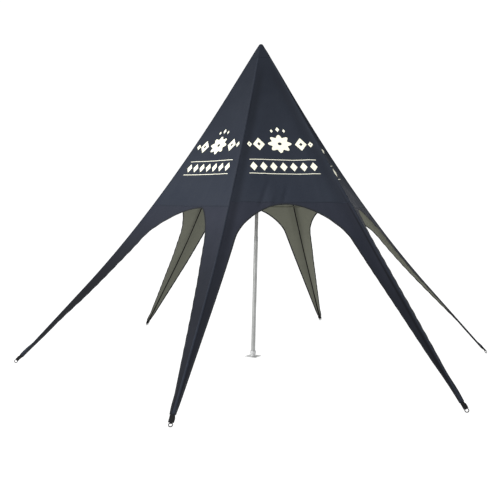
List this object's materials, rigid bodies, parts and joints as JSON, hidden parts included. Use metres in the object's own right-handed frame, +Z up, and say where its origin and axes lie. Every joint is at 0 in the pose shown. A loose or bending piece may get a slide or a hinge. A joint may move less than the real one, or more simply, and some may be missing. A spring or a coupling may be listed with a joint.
{
  "type": "star tent",
  "caption": "Single-mast star tent: a pointed navy cloth canopy drawn out into long tapering legs with arches between them, steel rings at the feet and an aluminium mast on a base plate.",
  "frame": {"origin": "centre of the underside of the mast's base plate, on the ground", "axes": "+Z up along the mast; the pictured side faces -Y, and the first leg is the front left one"},
  "size_m": [7.9889, 7.6598, 5.2461],
  "materials": {
    "navy_cloth": "matt coated polyester cloth, navy outside and olive grey inside",
    "dark_binding": "matt folded tape",
    "black_webbing": "woven polyester webbing",
    "bright_steel": "bright zinc plated wire",
    "brushed_aluminium": "matt anodised tube",
    "shaded_aluminium": "matt anodised tube",
    "galvanised_steel": "galvanised"
  },
  "bodies": {
    "root": {"roof_panel_1_2": "navy_cloth", "roof_panel_2_3": "navy_cloth", "roof_panel_3_4": "navy_cloth", "roof_panel_4_5": "navy_cloth", "roof_panel_5_6": "navy_cloth", "roof_panel_6_1": "navy_cloth", "leg_1_left_flap": "navy_cloth", "leg_1_right_flap": "navy_cloth", "leg_2_left_flap": "navy_cloth", "leg_2_right_flap": "navy_cloth", "leg_3_left_flap": "navy_cloth", "leg_3_right_flap": "navy_cloth", "leg_4_left_flap": "navy_cloth", "leg_4_right_flap": "navy_cloth", "leg_5_left_flap": "navy_cloth", "leg_5_right_flap": "navy_cloth", "leg_6_left_flap": "navy_cloth", "leg_6_right_flap": "navy_cloth", "arch_hem_1_2": "dark_binding", "arch_hem_2_3": "dark_binding", "arch_hem_3_4": "dark_binding", "arch_hem_4_5": "dark_binding", "arch_hem_5_6": "dark_binding", "arch_hem_6_1": "dark_binding", "ridge_strap_1": "black_webbing", "ridge_strap_2": "black_webbing", "ridge_strap_3": "black_webbing", "ridge_strap_4": "black_webbing", "ridge_strap_5": "black_webbing", "ridge_strap_6": "black_webbing", "foot_loop_1": "black_webbing", "foot_loop_2": "black_webbing", "foot_loop_3": "black_webbing", "foot_loop_4": "black_webbing", "foot_loop_5": "black_webbing", "foot_loop_6": "black_webbing", "foot_ring_1": "bright_steel", "foot_ring_2": "bright_steel", "foot_ring_3": "bright_steel", "foot_ring_4": "bright_steel", "foot_ring_5": "bright_steel", "foot_ring_6": "bright_steel", "base_plate": "galvanised_steel", "base_socket": "galvanised_steel", "pole_lower": "brushed_aluminium", "pole_upper": "shaded_aluminium", "mast_head": "galvanised_steel", "peak_cap": "navy_cloth"}
  },
  "joints": []
}
